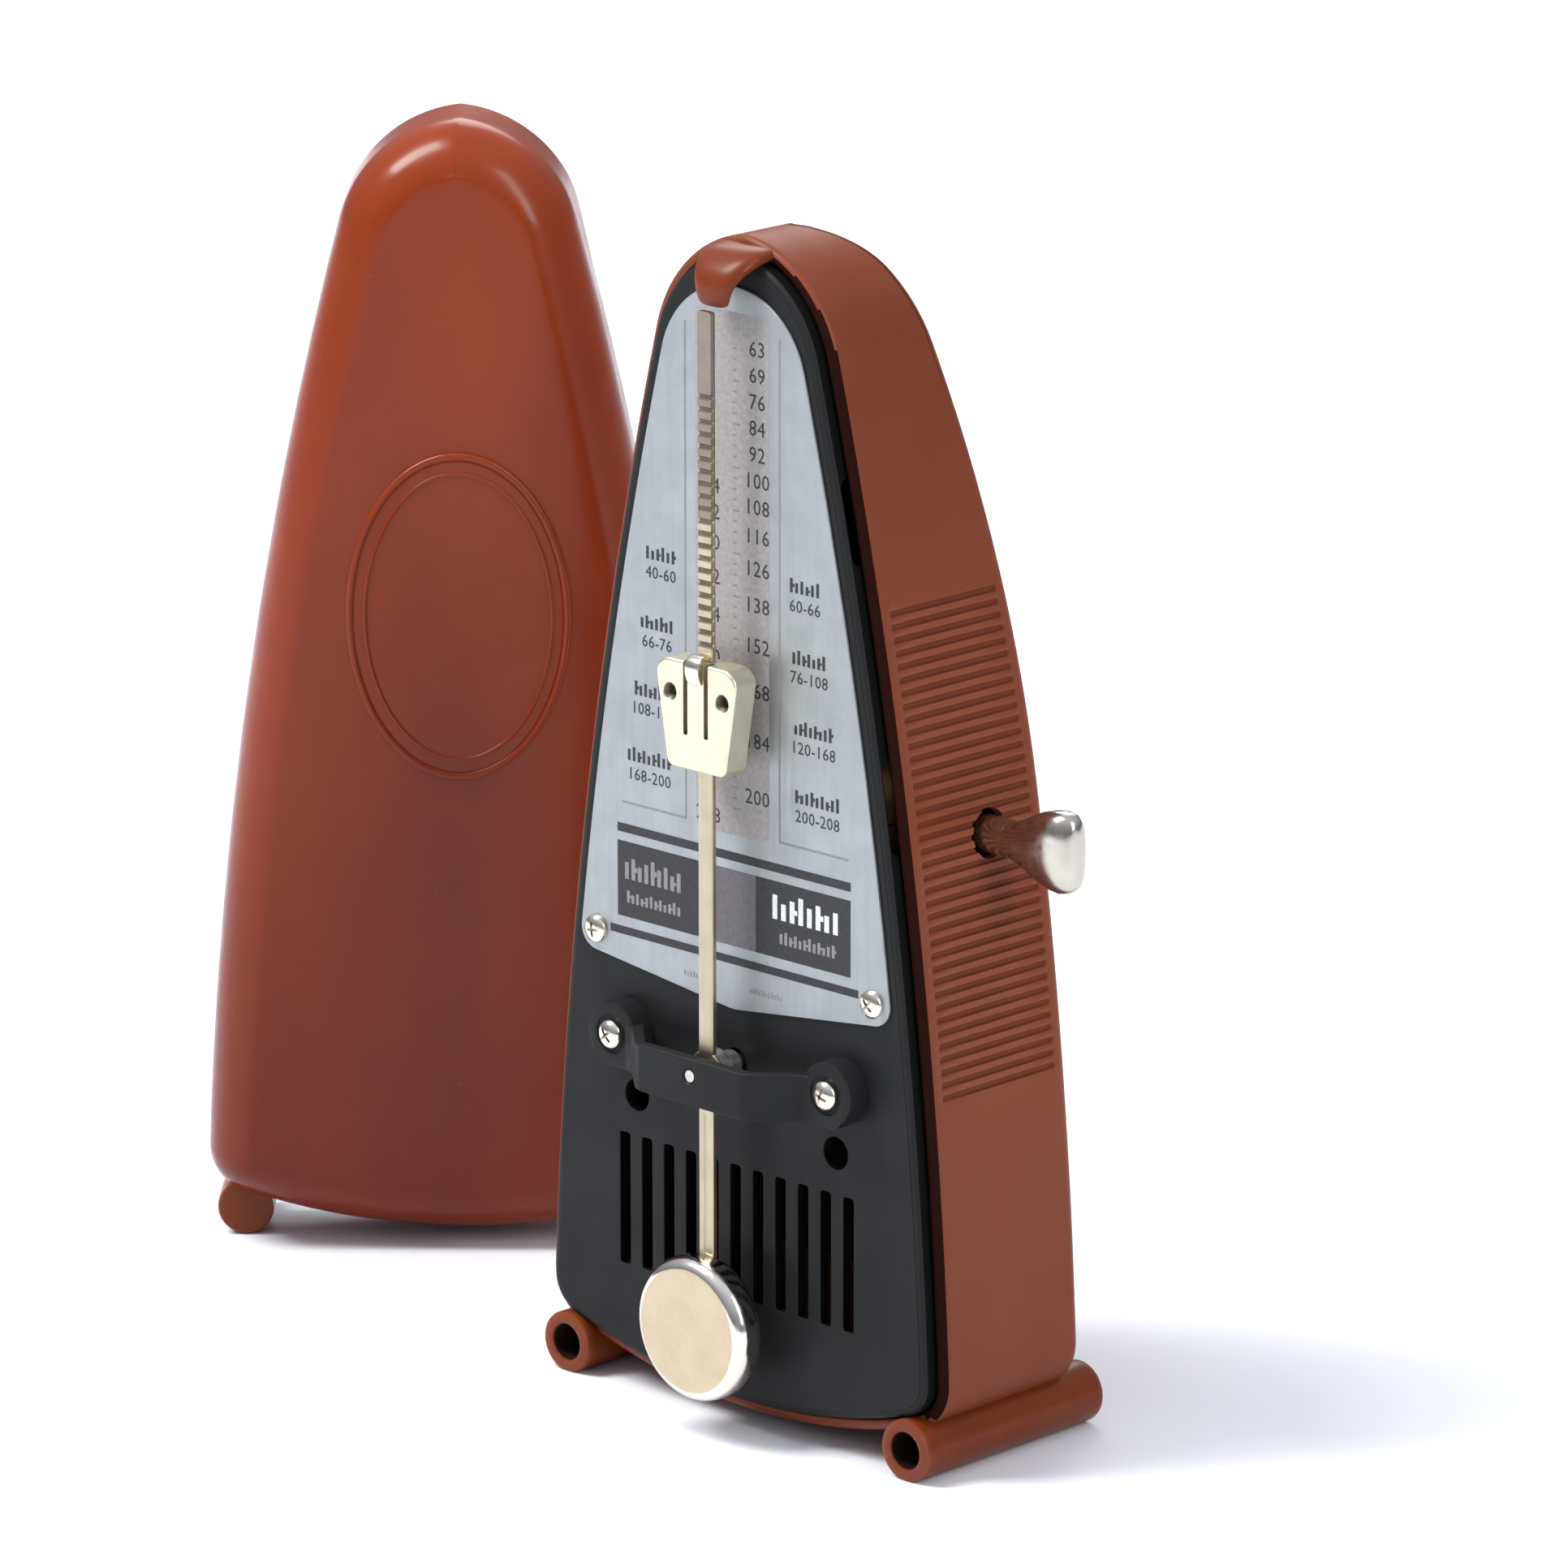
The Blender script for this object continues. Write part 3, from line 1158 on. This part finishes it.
def badge_bead(half_x, half_z, bead, raise_by):
    """Round bead that follows an oval path on the dome."""
    rings = []
    for k in range(120):
        a = 2 * math.pi * k / 120
        x, z = half_x * math.cos(a), BADGE_Z + half_z * math.sin(a)
        out = Vector((math.cos(a) / half_x, 0, math.sin(a) / half_z)).normalized()
        centre = Vector((x, dome_y(x, z) - raise_by, z))
        rings.append([centre + out * bead * math.cos(b) + Vector((0, 1, 0)) * bead * 0.8 * math.sin(b)
                      for b in (2 * math.pi * j / 14 for j in range(14))])
    return loft(rings, wrap=True)


def badge_field(half_x, half_z, raise_by, edge):
    """Slightly raised oval field with a soft edge."""
    rings = []
    rows = [(1, -0.4), (1, raise_by * 0.5)] + [(scale, raise_by) for scale in (1 - edge, 0.6, 0.3, 0.001)]
    for scale, lift in rows:
        ring = []
        for k in range(96):
            a = 2 * math.pi * k / 96
            x, z = half_x * scale * math.cos(a), BADGE_Z + half_z * scale * math.sin(a)
            ring.append((x, dome_y(x, z) - lift, z))
        rings.append(ring)
    return loft(rings)


badge = joined([badge_bead(15.0, 22.6, 0.55, 0.12), badge_bead(12.9, 20.2, 0.3, 0.3),
                badge_field(14.6, 22.2, 0.3, 0.02)])
badge.transform(cover_place)
fit(add_piece("badge", badge, [brown_cover], 50), "cover_medallion")

# ---------------- floor, lights and camera
FLOOR_HALF = 6
floor_mesh = bpy.data.meshes.new("floor")
floor_corners = box_loop(-FLOOR_HALF, FLOOR_HALF, -FLOOR_HALF, FLOOR_HALF)
floor_mesh.from_pydata([(x, y, 0) for x, y in floor_corners], [], [(0, 1, 2, 3)])
floor = bpy.data.objects.new("floor", floor_mesh)
scene.collection.objects.link(floor)
floor_paint, floor_tree, floor_shader, floor_coords = new_material("floor_paint")
floor_tone = spread(floor_tree, noise(floor_tree, floor_coords, 3, 2), 0, 1)
floor_tree.links.new(mix_colours(floor_tree, floor_tone, (0.86, 0.87, 0.90), (0.85, 0.86, 0.895)),
                     floor_shader.inputs["Base Color"])
floor_shader.inputs["Roughness"].default_value = 0.7
floor_shader.inputs["Specular IOR Level"].default_value = 0.2
floor_mesh.materials.append(floor_paint)

WALL_TONE = (0.24, 0.25, 0.28)
ROOF_TONE = (0.80, 0.83, 0.92)


def studio_world():
    """Soft studio surroundings: bright overhead, darker towards the walls."""
    world = bpy.data.worlds.new("studio")
    world.use_nodes = True
    tree = world.node_tree
    background = tree.nodes["Background"]
    coords = tree.nodes.new("ShaderNodeTexCoord")
    axes = tree.nodes.new("ShaderNodeSeparateXYZ")
    tree.links.new(coords.outputs["Generated"], axes.inputs["Vector"])
    ramp = tree.nodes.new("ShaderNodeMapRange")
    ramp.inputs["From Min"].default_value = 0.1
    ramp.inputs["From Max"].default_value = 0.85
    tree.links.new(axes.outputs["Z"], ramp.inputs["Value"])
    colour = mix_colours(tree, ramp.outputs["Result"], WALL_TONE, ROOF_TONE)
    tree.links.new(colour, background.inputs["Color"])
    background.inputs["Strength"].default_value = 0.93
    scene.world = world


studio_world()
scene.view_settings.view_transform = "Standard"


def area_light(name, place, aim, size, power):
    """White rectangular light, its size in metres and its power in watts."""
    data = bpy.data.lights.new(name, "AREA")
    data.shape = "RECTANGLE"
    data.size, data.size_y = size
    data.energy = power
    light = bpy.data.objects.new(name, data)
    scene.collection.objects.link(light)
    light.location = place
    light.rotation_mode = "QUATERNION"
    light.rotation_quaternion = (Vector(aim) - Vector(place)).to_track_quat("-Z", "Y")


centre = Vector((-0.02, 0.0, 0.08))
area_light("key_light", (-0.66, -0.74, 1.48), centre, (0.5, 0.9), 33.0)
area_light("side_light", (1.3, -0.05, 0.8), centre, (0.3, 1.0), 8.0)
area_light("back_light", (-1.3, 1.5, 1.3), (-1.3, 1.2, 0), (1.2, 1.2), 16.0)

CAMERA_AT = Vector((0.7670, -0.7989, 0.3879))
CAMERA_AIM = Vector((0.00369, -0.01093, 0.08741))
camera_data = bpy.data.cameras.new("camera")
camera_data.sensor_width = 36
camera_data.lens = 201.2
camera_data.clip_start = 0.05
camera_data.clip_end = 50
camera = bpy.data.objects.new("camera", camera_data)
scene.collection.objects.link(camera)
camera.location = CAMERA_AT
camera.rotation_mode = "QUATERNION"
camera.rotation_quaternion = (CAMERA_AIM - CAMERA_AT).to_track_quat("-Z", "Y")
scene.camera = camera
